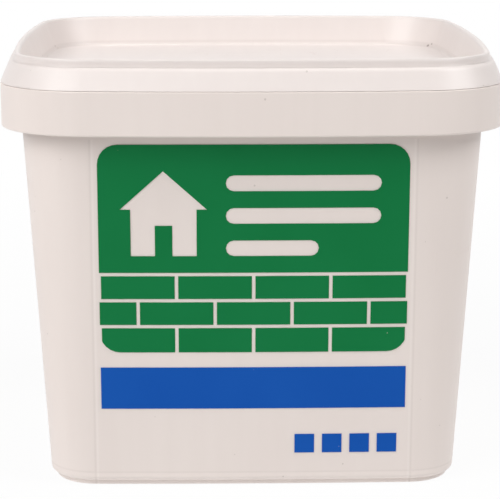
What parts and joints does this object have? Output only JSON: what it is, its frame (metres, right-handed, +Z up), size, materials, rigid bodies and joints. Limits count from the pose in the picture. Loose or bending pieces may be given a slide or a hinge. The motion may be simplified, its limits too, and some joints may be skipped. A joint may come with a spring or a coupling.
{
  "type": "wall filler tub",
  "caption": "Square plastic tub of ready-mixed wall filler with a hanging collar round its rim and a press-on stacking lid that lifts off.",
  "frame": {"origin": "centre of the tub's plan, on the plane that its foot stands on", "axes": "+Z up through the lid, -Y out of the printed front, +X to the right of someone facing the print"},
  "size_m": [0.13, 0.13, 0.1103],
  "materials": {
    "tub_plastic": "satin moulded polypropylene, warm white",
    "lid_plastic": "satin moulded polypropylene, warm white",
    "green_ink": "smooth printed ink",
    "blue_ink": "smooth printed ink",
    "paste": "matt wet filler, trowelled level"
  },
  "bodies": {
    "tub": {"tub_body": "tub_plastic", "print_green": "green_ink", "print_blue": "blue_ink", "filler_paste": "paste"},
    "lid": {"lid": "lid_plastic"}
  },
  "joints": [
    {"name": "lid_lift", "type": "slide", "parent": "tub", "child": "lid", "axis": [0, 0, 1], "range_m": [0, 0.12]}
  ]
}
